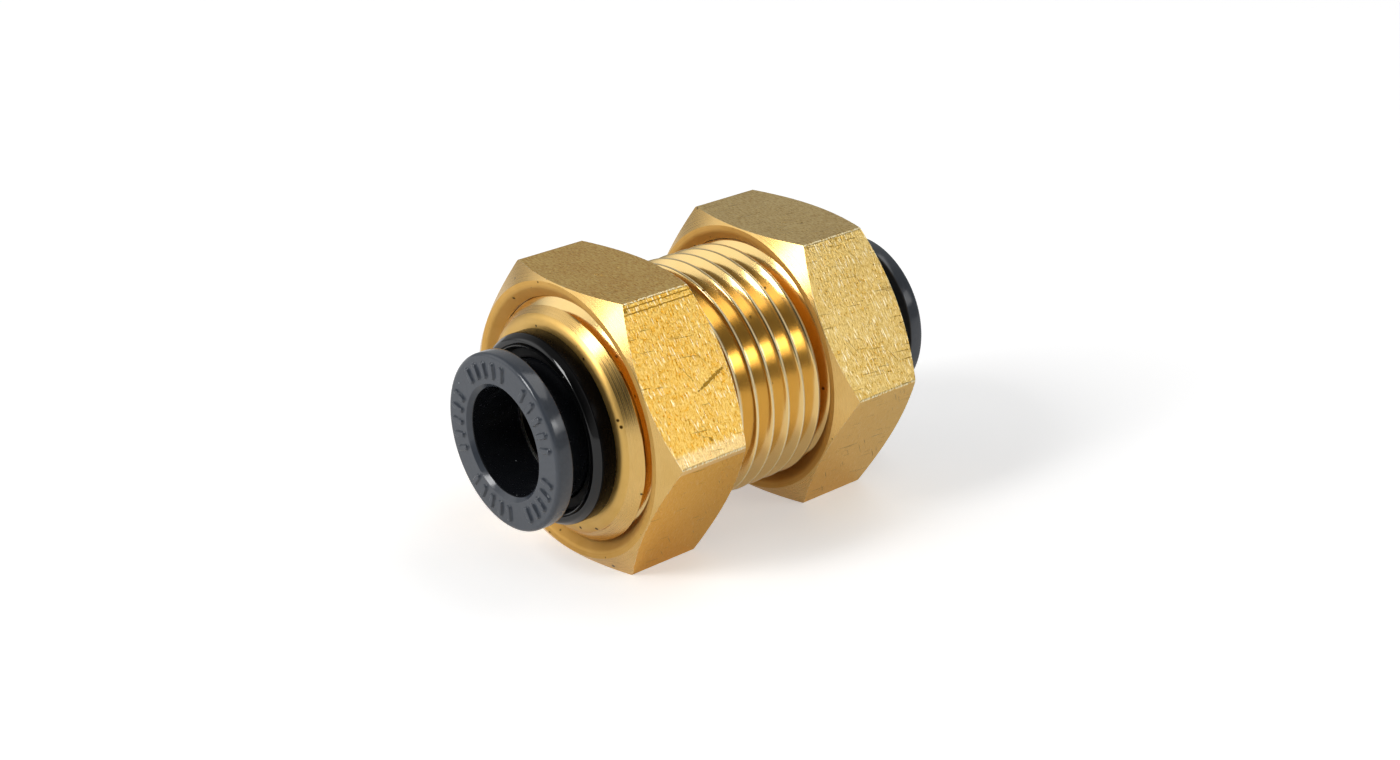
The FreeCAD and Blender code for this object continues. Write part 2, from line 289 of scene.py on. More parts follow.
def stampedSteel(name, look):
    # stainless strip, stamped: a painted highlight on the front edge, and painted shade darkening the rest,
    # deep in the bore
    material, tree = newMaterial(name)
    place = addNode(tree, "ShaderNodeTexCoord").outputs["Object"]
    grain = addNode(tree, "ShaderNodeTexNoise",
                    {"Vector": place, "Scale": perMetre(look["grainMm"]), "Detail": 2.0}).outputs[0]
    tone = addNode(tree, "ShaderNodeMix",
                   {0: grain, 6: linearColour(look["deep"]), 7: linearColour(look["pale"])},
                   data_type="RGBA").outputs[2]
    along = addNode(tree, "ShaderNodeSeparateXYZ", {0: place}).outputs["X"]
    fromMiddle = addNode(tree, "ShaderNodeMath", {0: along}, operation="ABSOLUTE").outputs[0]
    paintedHighlightEdge = addNode(tree, "ShaderNodeMath", {0: fromMiddle, 1: look["paintedHighlightFromMm"] * mm},
                      operation="GREATER_THAN").outputs[0]
    withPaintedLight = addNode(tree, "ShaderNodeMix", {0: paintedHighlightEdge, 6: tone, 7: linearColour(look["edge"])},
                    data_type="RGBA").outputs[2]
    roughness = addNode(tree, "ShaderNodeMapRange",
                        {0: grain, **noiseSpread, 3: look["smooth"], 4: look["rough"]}).outputs[0]
    shader = addNode(tree, "ShaderNodeBsdfPrincipled", {
        "Base Color": withPaintedLight, "Metallic": 1.0, "Roughness": roughness})
    endMaterial(tree, shader)
    return material


threadLook = {
    "ringMm": 0.09, "ringBump": 0.03, "cloudMm": 2.5, "deep": "#e8c274", "pale": "#f0cf88",
    "pitEveryMm": 2.2, "pitShare": 0.06, "pit": "#6a4a1c", "smooth": 0.12, "rough": 0.2, "film": 1.0,
}
crestLookPaintedHighlight = {  # crests paler: rubbed by handling, and a painted highlight along each crest
    **threadLook, "deep": "#f2dca6", "pale": "#f8e8c0", "smooth": 0.4, "rough": 0.5, "film": 0.0,
}
tappedLookPaintedShade = {  # painted shade: the nut's thread, inside the bore, is coloured a darker brown than the brass
    **threadLook, "deep": "#a47c38", "pale": "#b98f48", "smooth": 0.3, "rough": 0.42,
}
faceLook = {
    "ringMm": 0.14, "ringBump": 0.05, "cloudMm": 1.6, "deep": "#d9ad5a", "pale": "#e8c074",
    "pitEveryMm": 1.3, "pitShare": 0.1, "pit": "#4a3413", "smooth": 0.22, "rough": 0.32, "film": 0.7,
}
dullLook = {**faceLook, "smooth": 0.6, "rough": 0.75, "film": 0.0}  # rims and sinks of the nuts, cut coarsely
endLook = {**dullLook, "smooth": 0.34, "rough": 0.44}  # the body's end faces, between the two
flatLook = {  # arcs are in millimetres round the nut from the back corner
    "streakMm": (0.16, 0.6), "speckMm": 0.2, "speckShare": 0.4, "cloudMm": 3.0, "cloudShare": 0.15,
    "deep": "#cf9628", "pale": "#f1ce74", "toneSpread": 0.12,
    "underArc": 43.99, "underWithPaintedReflection": "#eaad30", "underPaintedReflectionShare": 0.75, "underRelief": 0.5,  # from that arc on, the lower flats carry a painted reflection of the floor's bounced light
    "rubPaintedGlint": "#fcefc6", "rubLengthMm": 1.2, "rubWidthMm": 0.14, "rubTurn": 7, "rubThreshold": 0.68,
    "rubArc": 36.7, "rubHalf": 7.3,  # the middle of the most rubbed flat, the one facing the front softbox, where the painted glints gather, and half its width
    "rubElsewhere": 0.15,  # share of the rubs and their painted glints on the other flats
    "paleBands": [], "bandReach": 1.9,  # each band: its first arc, its soft edge, its strength
    "wornFrom": 0.42, "wornFull": 0.5,
    "line": "#9c7628", "lineLengthMm": 4.0, "lineWidthMm": 0.12, "lineThreshold": 0.77,
    "lineTurns": [(84, 0), (31, 0.03)],  # degrees, and what it adds to the threshold
    "pitEveryMm": 4.0, "pitShare": 0.045,
    "gouges": [], "gougeTear": 1.6, "gougeFull": 1.55, "gougeGone": 1.75,  # each: place, turn, half size
    "dieLines": [], "dieLineHalf": 0.055, "raggedMm": 0.2,
    "smooth": 0.26, "rough": 0.36, "glossSpread": 0.2,
    "skinReliefMm": 0.045,  # deeper than the real skin's, so as to show
}
paleFlatLook = {
    **flatLook, "deep": "#c69e48", "pale": "#eacf88", "underWithPaintedReflection": "#eebb57", "rubThreshold": 0.66,
    "lineThreshold": 0.74,
}
goldFlatLook = {
    **flatLook, "dieLines": [29.9, 30.4], "paleBands": [(42.7, 0.3, 0.3)],
    "gouges": [((-7.75, 37.6), -21, (1.9, 0.17)), ((-9.8, 42.3), 70, (0.28, 0.14))],
}
guideLook = {
    "flowMm": 0.8, "flowBump": 0.01, "deep": "#040404", "pale": "#070708", "dustEveryMm": 1.6,
    "dustShare": 0.028, "dust": "#6a6a66", "smooth": 0.06, "rough": 0.11, "ior": 1.5,
}
sideLook = {**guideLook, "smooth": 0.22, "rough": 0.3, "ior": 1.13}  # less polished, and it mirrors less
# painted shade: the recess inside the guide is coloured darker than the rest of the ring, and matt
recessLookPaintedShade = {
    **guideLook, "deep": "#020202", "pale": "#030303", "dustShare": 0.02, "smooth": 0.5, "rough": 0.6,
    "ior": 1.36,
}
buttonLook = {
    "flowMm": 0.3, "flowBump": 0.06, "deep": "#3c4148", "pale": "#454a52", "dustEveryMm": 2.2,
    "dustShare": 0.02, "dust": "#a0a2a5", "smooth": 0.12, "rough": 0.2, "ior": 1.5,
}
# painted shade: the button's sleeve and bore are the same grey acetal, coloured near black where they lie in
# shade
coreLookPaintedShade = {
    **buttonLook, "flowBump": 0.03, "deep": "#141619", "pale": "#1a1c20", "smooth": 0.2, "rough": 0.28,
}
colletLook = {
    "flowMm": 0.6, "flowBump": 0.05, "deep": "#c9c4b6", "pale": "#d6d2c6", "dustEveryMm": 3.0,
    "dustShare": 0.01, "dust": "#a8a49a", "smooth": 0.4, "rough": 0.5, "ior": 1.5,
}
sealLook = {
    "flowMm": 0.4, "flowBump": 0.1, "deep": "#141414", "pale": "#1c1c1c", "dustEveryMm": 2.0,
    "dustShare": 0.01, "dust": "#4a4a4a", "smooth": 0.55, "rough": 0.7, "ior": 1.5,
}
# painted light: dark painted shade over the chuck, and a near-white painted highlight on its front edge
chuckLookPaintedLight = {
    "grainMm": 0.3, "deep": "#3a3734", "pale": "#4a4642", "edge": "#e6e4e0",
    "paintedHighlightFromMm": 15.9,  # painted highlight further than that from the fitting's middle
    "smooth": 0.3, "rough": 0.42,
}

finishes = {
    "thread": turnedBrass("turnedBrassThread", threadLook),
    "crest": turnedBrass("turnedBrassWornCrestPaintedHighlight", crestLookPaintedHighlight),
    "tapped": turnedBrass("tappedBrassPaintedShade", tappedLookPaintedShade),
    "face": turnedBrass("turnedBrassFace", faceLook),
    "dull": turnedBrass("turnedBrassCoarse", dullLook),
    "end": turnedBrass("turnedBrassEndFace", endLook),
    "leftFlat": drawnBrass("drawnBrassGolden", goldFlatLook),
    "rightFlat": drawnBrass("drawnBrassPale", paleFlatLook),
    "guide": mouldedPlastic("mouldedNylonBlack", guideLook),
    "guideSide": mouldedPlastic("mouldedNylonBlackSatin", sideLook),
    "recess": mouldedPlastic("mouldedNylonBlackMattPaintedShade", recessLookPaintedShade),
    "button": mouldedPlastic("mouldedAcetalGrey", buttonLook),
    "buttonCore": mouldedPlastic("mouldedAcetalGreyPaintedShade", coreLookPaintedShade),
    "collet": mouldedPlastic("mouldedAcetalNatural", colletLook),
    "seal": mouldedPlastic("mouldedNitrileRubber", sealLook),
    "chuck": stampedSteel("stampedSteelPaintedLight", chuckLookPaintedLight),
}
print("materials:", ", ".join(m.name for m in finishes.values()))


# Surfaces: points in millimetres, quads, the number of each quad's finish, and each point's flatPlace

cornerSteps = 6  # points round each corner of a profile
weldGrid = 1e5  # points are merged on a grid of that many steps to the millimetre


def surface(points, quads, finish=0, place=None):
    points = np.asarray(points, float).reshape(-1, 3)
    place = np.zeros_like(points) if place is None else np.asarray(place, float).reshape(-1, 3)
    return {"points": points, "quads": quads, "finish": np.full(len(quads), finish), "place": place}


def joined(*surfaces):  # several surfaces as one, welded later where their edges meet
    starts = np.cumsum([0] + [len(s["points"]) for s in surfaces[:-1]])
    both = {key: np.concatenate([s[key] for s in surfaces]) for key in ("points", "finish", "place")}
    both["quads"] = np.concatenate([s["quads"] + start for s, start in zip(surfaces, starts)])
    return both


def ringQuads(rows, columns):  # a grid whose last column joins its first
    row = np.arange(rows - 1)[:, None] * columns
    column = np.arange(columns)[None, :]
    following = (column + 1) % columns
    corners = [row + column, row + following, row + columns + following, row + columns + column]
    return np.stack(corners, -1).reshape(-1, 4)


def helixQuads(rows, columns, rowsPerTurn):  # a grid whose last column joins its first one turn further on
    row = np.arange(rows - rowsPerTurn - 1)[:, None]
    column = np.arange(columns)[None, :]
    wraps = (column + 1) // columns
    following = (column + 1) % columns
    here = row * columns + column
    beside = (row + wraps * rowsPerTurn) * columns + following
    return np.stack([here, beside, beside + columns, here + columns], -1).reshape(-1, 4)


def unitRows(vectors):  # each row scaled to a length of 1
    return vectors / np.linalg.norm(vectors, axis=1, keepdims=True)


def roundedProfile(corners):
    # each corner (x, radius, rounding) becomes an arc tangent to both its sides,
    # whose points slide from one side's direction to the other's
    corners = np.asarray(corners, float)
    points, rounding = corners[:, :2], corners[:, 2:]
    toLast = unitRows(np.roll(points, 1, 0) - points)
    toNext = unitRows(np.roll(points, -1, 0) - points)
    half = np.arccos(np.clip((toLast * toNext).sum(1, keepdims=True), -1, 1)) / 2
    middle = unitRows(toLast + toNext)
    centre = points + middle * rounding / np.sin(half)
    first = unitRows(toLast * np.cos(half) - middle)
    last = unitRows(toNext * np.cos(half) - middle)
    sweep = (math.pi - 2 * half)[:, None, :]
    t = np.linspace(0, 1, cornerSteps)[None, :, None]
    way = (np.sin((1 - t) * sweep) * first[:, None] + np.sin(t * sweep) * last[:, None]) / np.sin(sweep)
    return (centre[:, None] + rounding[:, None] * way).reshape(-1, 2)


def roundAngles(columns):
    return np.linspace(0, 2 * math.pi, columns, endpoint=False)


def cylinderPoints(x, radius, angles):  # y and z are the radius times the angle's cosine and sine
    return np.stack(np.broadcast_arrays(x, radius * np.cos(angles), radius * np.sin(angles)), -1)


def turnedSurface(profile, angles):  # a closed profile of (x, radius) turned about x
    profile = np.vstack([profile, profile[:1]])
    points = cylinderPoints(profile[:, :1], profile[:, 1:], angles)
    return surface(points, ringQuads(len(profile), len(angles)))


def welded(shape):
    # merges points that coincide; quads that lose a corner become triangles, and flat ones go
    keys = np.round(shape["points"] * weldGrid).astype(np.int64)
    _, first, inverse = np.unique(keys, axis=0, return_index=True, return_inverse=True)
    quads = inverse.reshape(-1)[shape["quads"]]
    differs = quads != np.roll(quads, -1, 1)
    count = differs.sum(1)
    whole, cut = count == 4, count == 3
    triangles = quads[cut][differs[cut]].reshape(-1, 3)
    faces = quads[whole].tolist() + triangles.tolist()
    finish = np.concatenate([shape["finish"][whole], shape["finish"][cut]])
    return shape["points"][first], faces, finish, shape["place"][first]


def makePiece(name, shape, finishNames, body, node, sharpDegrees=24):
    points, faces, finish, place = welded(shape)
    mesh = bpy.data.meshes.new(name)
    mesh.from_pydata((points * mm).tolist(), [], faces)
    mesh.polygons.foreach_set("material_index", finish.astype(np.int32))
    mesh.attributes.new("flatPlace", "FLOAT_VECTOR", "POINT").data.foreach_set("vector", place.ravel())
    edit = bmesh.new()
    edit.from_mesh(mesh)
    bmesh.ops.recalc_face_normals(edit, faces=edit.faces)
    edit.to_mesh(mesh)
    edit.free()
    mesh.polygons.foreach_set("use_smooth", np.ones(len(mesh.polygons), bool))
    mesh.set_sharp_from_angle(angle=math.radians(sharpDegrees))
    for finishName in finishNames:
        mesh.materials.append(finishes[finishName])
    piece = bpy.data.objects.new(name, mesh)
    bpy.context.scene.collection.objects.link(piece)
    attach(piece, body)
    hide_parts(node)
    print("piece", name, len(mesh.polygons), "faces")


def boxMm(node):  # lowest and highest corner of a CAD node in millimetres
    return [np.array(corner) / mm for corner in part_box(node)]


def endBox(node, sign):  # front and back of an end piece, measured outwards from the middle, and its radius
    low, high = boxMm(node)
    back, front = sorted((sign * low[0], sign * high[0]))
    return front, back, high[2]


# Thread: one right-hand screw line shared by the body and both nuts

thread = {
    "pitch": 25.4 / 14,
    "crestX": -2.13,  # where a crest passes the side that faces -y
    "crestFlat": 1 / 16,  # half of the crest's width between the flanks, in pitches
    "rootFlat": 1 / 12,  # half of the root's flat, in pitches
    "flankDegrees": 30,  # each flank leans that far from the radius
    "flankStart": 0.14,  # first row on the flank, in pitches from the crest
    "flankRows": 7,
    "crestRows": 5,  # from the top of the crest to the flank
    "paleCrestRows": 2,  # rows on each side of the crest that are rubbed bare and carry the painted highlight
    "nutPlay": 0.06,  # between the body's thread and the nut's
    "nutCrest": 0.76,  # depth of the nut's crest below the body's crest
}
flankLean = math.tan(math.radians(thread["flankDegrees"]))
crestRounding = thread["crestFlat"] / flankLean  # fully round crest, in pitches
crestTurn = np.radians(np.linspace(0, 90 - thread["flankDegrees"], thread["crestRows"]))
flankEnd = 0.5 - thread["rootFlat"]
flankPhases = np.linspace(thread["flankStart"], flankEnd, thread["flankRows"])
halfTurn = np.concatenate([crestRounding * np.sin(crestTurn), flankPhases])
phases = np.concatenate([halfTurn, [0.5], 1 - halfTurn[:0:-1]])  # rows over one pitch, from crest to crest


def threadDepth(phase):
    # depth below the crest: an arc over the crest, even along the flank, level on the root's flat
    fromCrest = np.minimum(phase, 1 - phase)
    arc = crestRounding - np.sqrt(np.maximum(crestRounding ** 2 - fromCrest ** 2, 0))
    flank = (np.minimum(fromCrest, flankEnd) - thread["crestFlat"]) / flankLean
    onFlank = fromCrest > crestRounding * math.sin(crestTurn[-1]) - tolerance
    return np.where(onFlank, flank, arc) * thread["pitch"]


def screwLine(lowX, highX, angles):
    # rows follow the screw: x grows by the phase along the pitch and by one pitch for each turn
    pitch = thread["pitch"]
    startX = thread["crestX"] - pitch / 2
    firstTurn = math.floor((lowX - startX) / pitch) - 1
    lastTurn = math.ceil((highX - startX) / pitch) + 2
    turns = np.repeat(np.arange(firstTurn, lastTurn), len(phases))
    phase = np.tile(phases, lastTurn - firstTurn)
    x = startX + pitch * ((turns + phase)[:, None] + angles[None, :] / (2 * math.pi))
    quads = helixQuads(len(turns), len(angles), len(phases))
    return np.clip(x, lowX, highX), threadDepth(phase)[:, None], quads


# Brass body

bodyShape = {
    "columns": 200,
    "endChamfer": 1.6,
    "edgeRounding": 1.2,  # between the chamfer and the end face
    "edgeReach": 0.4,  # the rounding ends within that length of the end face
    "guideBore": 8.0,
    "sealSeat": 9.55,  # depth from the end face
    "socketMouth": 5.1,
    "socketLeadIn": 0.3,
    "socketBore": 4.8,
    "tubeStop": 13.35,  # depth from the end face
    "flowBore": 3.75,
}


def brassBody():
    # thread's radius, cut down by the 45 degree cone at each end, then the stepped bore turned inside it
    high = boxMm("brass_body")[1]
    endX, crest = high[0], high[2]
    angles = roundAngles(bodyShape["columns"])
    edgeX = endX - bodyShape["edgeReach"]
    faceRadius = crest - bodyShape["endChamfer"]
    x, depth, quads = screwLine(-edgeX, edgeX, angles)
    cone = faceRadius + (endX - np.abs(x))
    barrel = surface(cylinderPoints(x, np.minimum(crest - depth, cone), angles), quads)
    row = np.arange(len(quads)) // len(angles) % len(phases)
    onCrest = (row < thread["paleCrestRows"]) | (row >= len(phases) - thread["paleCrestRows"])
    onChamfer = np.abs(barrel["points"][quads, 0]).mean(1) > endX - bodyShape["endChamfer"]
    barrel["finish"] = np.where(onChamfer, 1, np.where(onCrest, 3, 0))  # chamfer, crest with its painted highlight, rest of the thread
    seatX, stopX = endX - bodyShape["sealSeat"], endX - bodyShape["tubeStop"]
    oneSide = np.array([
        (edgeX, faceRadius + bodyShape["edgeReach"], 0),
        (endX, faceRadius, bodyShape["edgeRounding"]),
        (endX, bodyShape["guideBore"], 0),
        (seatX, bodyShape["guideBore"], 0),
        (seatX, bodyShape["socketMouth"], 0),
        (seatX - bodyShape["socketLeadIn"], bodyShape["socketBore"], 0),
        (stopX, bodyShape["socketBore"], 0),
        (stopX, bodyShape["flowBore"], 0),
    ])
    profile = roundedProfile(np.vstack([oneSide, oneSide[::-1] * (-1, 1, 1)]))
    boreQuads = ringQuads(len(profile), len(angles))
    bores = surface(cylinderPoints(profile[:, :1], profile[:, 1:], angles), boreQuads)
    onFace = np.abs(bores["points"][boreQuads, 0]).min(1) > edgeX - tolerance
    bores["finish"] = np.where(onFace, 2, 1)  # end face with its rounded edge, bores
    return joined(barrel, bores)


makePiece("threadedBody", brassBody(), ("thread", "face", "end", "crest"),
          "fitting", "brass_body")


# Hex nuts

nutShape = {
    "flatColumns": 22,  # steps along each flat
    "flatEndStep": 0.002,  # share of a flat that the narrow step beside each corner takes
    "cornerColumns": 6,  # points round each corner
    "cornerRounding": 0.3,
    "chamferInset": 0.1,
    "chamferDegrees": 30,
    "boreRadius": 11.1625,
    "countersink": 0.86,
    "rimRounding": 0.6,  # between the face and the countersink
    "wornEdge": 0.18,  # width of the rubbed line along the chamfer
    "cornerWear": 0.95,  # how far the line along each corner is rubbed bare
}


def hexOutline(flatRadius):
    # six straight flats joined by small arcs, from one corner round to the next, with the length run so far
    rounding = nutShape["cornerRounding"]
    arcCentre = (flatRadius - rounding) / math.cos(math.radians(30))
    turn = np.radians(np.linspace(-30, 30, nutShape["cornerColumns"]))
    arc = np.stack([arcCentre + rounding * np.cos(turn), rounding * np.sin(turn)], -1)
    sixth = np.array([[0.5, -math.sqrt(0.75)], [math.sqrt(0.75), 0.5]])  # turns by 60 degrees
    share = np.linspace(0, 1, nutShape["flatColumns"] + 1)
    share[[0, -1]] = nutShape["flatEndStep"], 1 - nutShape["flatEndStep"]  # keeps the flat's shading flat
    share = share[:, None]
    flat = arc[-1] * (1 - share) + (sixth @ arc[0]) * share
    side = np.vstack([arc, flat])
    turns = [np.linalg.matrix_power(sixth, k) for k in range(6)]
    outline = np.roll(np.vstack([side @ turn.T for turn in turns]), -1, 0)  # closes inside a corner's arc
    steps = np.linalg.norm(np.diff(outline, axis=0), axis=1)
    onCorner = np.roll(np.tile(np.isin(np.arange(len(side)), np.arange(1, len(arc) - 1)), 6), -1)
    return outline, np.concatenate([[0], np.cumsum(steps)]), onCorner


def hexNut(node):
    # hexagon met by a shallow cone at each face, then the countersunk and threaded bore
    low, high = boxMm(node)
    outline, run, onCorner = hexOutline(high[2])
    angles = np.unwrap(np.arctan2(outline[:, 1], outline[:, 0]))
    reach = np.hypot(outline[:, 0], outline[:, 1])
    chamferCircle = high[2] - nutShape["chamferInset"]
    sinkCircle = nutShape["boreRadius"] + nutShape["countersink"]
    drop = (reach - chamferCircle) * math.tan(math.radians(nutShape["chamferDegrees"]))
    even = np.ones_like(angles)  # carries one value all round
    rimCorners = [
        (low[0] + 1, sinkCircle - 1, 0),  # further down the 45 degree countersink
        (low[0], sinkCircle, nutShape["rimRounding"]),
        (low[0], chamferCircle, 0),
    ]
    rim = roundedProfile(rimCorners)[cornerSteps:2 * cornerSteps]  # the middle corner, countersink to face
    faceX = [low[0] * even, low[0] + drop, low[0] + drop + nutShape["wornEdge"]]
    oneSide = np.vstack([rim[:, :1] * even, faceX])
    x = np.vstack([oneSide, low[0] + high[0] - oneSide[::-1]])
    oneRadius = np.vstack([rim[:, 1:] * even, [chamferCircle * even, reach, reach]])
    radius = np.vstack([oneRadius, oneRadius[::-1]])
    chamferRow = len(rim) + 1
    wear = np.maximum(np.zeros_like(x), nutShape["cornerWear"] * onCorner)
    wear[[chamferRow, -1 - chamferRow]] = 1  # full at the chamfer's edge, gone a little way in
    place = np.stack([x, np.broadcast_to(run, x.shape), wear], -1)
    outside = surface(cylinderPoints(x, radius, angles), ringQuads(len(x), len(angles)), 1, place)
    rows = np.arange(len(x) - 1).repeat(len(angles))
    outside["finish"][(rows >= chamferRow) & (rows < len(x) - 1 - chamferRow)] = 0  # the flats
    outside["finish"][(rows < len(rim)) | (rows > len(x) - 2 - len(rim))] = 3  # the rims
    rimDepth = rim[0, 0] - low[0]
    boreX, depth, quads = screwLine(low[0] + rimDepth, high[0] - rimDepth, angles)
    crest = boxMm("brass_body")[1][2]
    threadRadius = np.clip(crest - depth + thread["nutPlay"], crest - thread["nutCrest"],
                           nutShape["boreRadius"])
    sinkRadius = sinkCircle - np.minimum(boreX - low[0], high[0] - boreX)
    bore = surface(cylinderPoints(boreX, np.maximum(threadRadius, sinkRadius), angles), quads)
    sunk = (sinkRadius >= threadRadius - tolerance).reshape(-1)
    bore["finish"] = np.where(sunk[quads].all(1), 3, 2)  # countersink, thread
    return joined(outside, bore)


for end in endSigns:
    makePiece(end + "HexNut", hexNut(end + "_nut"), (end + "Flat", "face", "tapped", "dull"),
              end + "_nut", end + "_nut")


# Guides

guideShape = {
    "columns": 256,
    "recessMouth": 7.6,
    "mouthRounding": 0.35,
    "mattRadius": 7.52,  # the recess is matt and painted darker, as shade, inside that radius
    "noseRadius": 8.24,
    "noseLength": 0.65,
    "noseRounding": 0.45,
    "seatRounding": 0.04,
    "spigotRadius": 7.98,
    "spigotRounding": 0.1,
    "protrusion": 2.1,
    "wedgeRadius": 7.3,
    "wedgeRounding": 0.05,
    "wedgeLength": 2.55,  # straight part at the inner end
    "wedgeRise": 2.6,  # length of the cone
    "chamberRadius": 6.95,
    "lipRadius": 6.42,
    "lipThickness": 0.55,
    "lipRounding": 0.1,
    "recessDepth": 0.9,
    "recessFloor": 7.25,
}


def guideRing(node, sign):
    # profile from the rim round the flange, along the spigot and back through the wedge, chamber and lip
    front, inner, flange = endBox(node, sign)
    seat = front - guideShape["protrusion"]
    noseEnd = front - guideShape["noseLength"]
    lipFront = front - guideShape["recessDepth"]
    lipBack = lipFront - guideShape["lipThickness"]
    wedgeEnd = inner + guideShape["wedgeLength"]
    profile = roundedProfile([
        (front, guideShape["recessMouth"], guideShape["mouthRounding"]),
        (front, guideShape["noseRadius"], guideShape["noseRounding"]),
        (noseEnd, flange, guideShape["noseRounding"]),
        (seat, flange, guideShape["seatRounding"]),
        (seat, guideShape["spigotRadius"], 0),
        (inner, guideShape["spigotRadius"], guideShape["spigotRounding"]),
        (inner, guideShape["wedgeRadius"], guideShape["wedgeRounding"]),
        (wedgeEnd, guideShape["wedgeRadius"], 0),
        (wedgeEnd + guideShape["wedgeRise"], guideShape["chamberRadius"], 0),
        (lipBack, guideShape["chamberRadius"], guideShape["lipRounding"]),
        (lipBack, guideShape["lipRadius"], guideShape["lipRounding"]),
        (lipFront, guideShape["lipRadius"], guideShape["lipRounding"]),
        (lipFront, guideShape["recessFloor"], guideShape["lipRounding"]),
    ])
    ring = turnedSurface(profile * (sign, 1), roundAngles(guideShape["columns"]))
    radius = np.hypot(*ring["points"].T[1:])
    inRecess = radius[ring["quads"]].max(1) < guideShape["mattRadius"]
    onSide = np.abs(ring["points"][ring["quads"], 0]).mean(1) < noseEnd
    ring["finish"] = np.where(inRecess, 1, np.where(onSide, 2, 0))  # recess, flange side, nose
    return ring


for end, sign in endSigns.items():
    makePiece(end + "GuideRing", guideRing(end + "_guide", sign), ("guide", "recess", "guideSide"),
              "fitting", end + "_guide")


# Release buttons

buttonShape = {
    "columns": 720,
    "faceRows": 40,
    "sharpDegrees": 40,
    "boreRadius": 4.9,
    "mouthChamfer": 0.4,
    "mouthRounding": 0.06,
    "chamferRounding": 0.15,  # between the mouth's chamfer and the bore
    "frontRounding": 0.4,
    "flangeThickness": 1.6,
    "backRounding": 0.15,
    "sleeveRadius": 6.3,
    "sleeveRounding": 0.15,  # where the sleeve meets the flange
    "beadRadius": 6.75,
    "beadLength": 0.35,
    "beadRounding": 0.08,
    "beadFillet": 0.05,  # where the sleeve meets the bead
    "noseRounding": 0.1,
    "markRadius": 6.5,  # middle of the raised bars
    "markGroups": 5,
    "barsPerGroup": 5,
    "barEvery": 1.28,
    "barLength": 1.5,
    "barWidth": 0.5,
    "markHeight": 0.2,
    "markEdge": 0.12,  # width of the bars' sloping edge
}


def smoothStep(t):
    t = np.clip(t, 0, 1)
    return t * t * (3 - 2 * t)


def raisedMarks(radius, angles):
    # height of plain bars in groups round the face: distance to each bar's middle line, eased at its edge
    groups = np.arange(buttonShape["markGroups"])[:, None] * 2 * math.pi / buttonShape["markGroups"]
    step = buttonShape["barEvery"] / buttonShape["markRadius"]
    bars = (np.arange(buttonShape["barsPerGroup"]) - (buttonShape["barsPerGroup"] - 1) / 2)[None, :] * step
    centres = (groups + bars).reshape(-1)
    offset = np.angle(np.exp(1j * (angles[:, None] - centres[None, :])))
    across = np.abs(offset).min(1)[None, :] * radius[:, None]
    halfRun = (buttonShape["barLength"] - buttonShape["barWidth"]) / 2
    beyond = np.maximum(np.abs(radius - buttonShape["markRadius"]) - halfRun, 0)[:, None]
    inside = buttonShape["barWidth"] / 2 - np.hypot(across, beyond)
    return buttonShape["markHeight"] * smoothStep(inside / buttonShape["markEdge"] + 0.5)


def releaseButton(node, sign):
    # flange face with its raised bars, then the rest of the section turned about x
    front, nose, flange = endBox(node, sign)
    mouth = buttonShape["boreRadius"] + buttonShape["mouthChamfer"]
    back = front - buttonShape["flangeThickness"]
    bead = nose + buttonShape["beadLength"]
    section = roundedProfile([
        (front, mouth, buttonShape["mouthRounding"]),
        (front, flange, buttonShape["frontRounding"]),
        (back, flange, buttonShape["backRounding"]),
        (back, buttonShape["sleeveRadius"], buttonShape["sleeveRounding"]),
        (bead, buttonShape["sleeveRadius"], buttonShape["beadFillet"]),
        (bead, buttonShape["beadRadius"], buttonShape["beadRounding"]),
        (nose, buttonShape["sleeveRadius"], buttonShape["beadRounding"]),
        (nose, buttonShape["boreRadius"], buttonShape["noseRounding"]),
        (front - buttonShape["mouthChamfer"], buttonShape["boreRadius"], buttonShape["chamferRounding"]),
    ])
    innerEdge, outerEdge = section[cornerSteps - 1, 1], section[cornerSteps, 1]
    faceRadius = np.linspace(innerEdge, outerEdge, buttonShape["faceRows"])[1:-1]
    face = np.stack([np.full_like(faceRadius, front), faceRadius], -1)
    profile = np.vstack([section[:cornerSteps], face, section[cornerSteps:]])
    angles = roundAngles(buttonShape["columns"])
    button = turnedSurface(profile * (sign, 1), angles)
    faceEnd = cornerSteps + len(faceRadius)
    rise = np.zeros((len(profile) + 1, len(angles)))
    rise[cornerSteps:faceEnd] = raisedMarks(faceRadius, angles * sign)
    button["points"][:, 0] += sign * rise.ravel()
    flangeEnd = faceEnd + 2 * cornerSteps  # past the flange's two rounded edges
    button["finish"][flangeEnd * len(angles):(len(profile) - 1) * len(angles)] = 1  # sleeve and bore, in the painted-shade colour
    return button


for end, sign in endSigns.items():
    makePiece(end + "ReleaseButton", releaseButton(end + "_release_button", sign), ("button", "buttonCore"),
              end + "_button", end + "_release_button", buttonShape["sharpDegrees"])


# Inner pieces stay as the CAD made them, and take their finish

innerFinishes = {"chuck": "chuck", "collet": "collet", "tube_seal": "seal"}
for end in endSigns:
    for piece, finish in innerFinishes.items():
        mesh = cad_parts[end + "_" + piece].data
        mesh.materials.clear()
        mesh.materials.append(finishes[finish])
print("inner pieces dressed")


# Floor, light and camera

floorLook = {"reach": 4.0, "colour": "#f4f4f4", "roughness": 0.9, "lift": 0.42, "mirrorLift": 0.17}


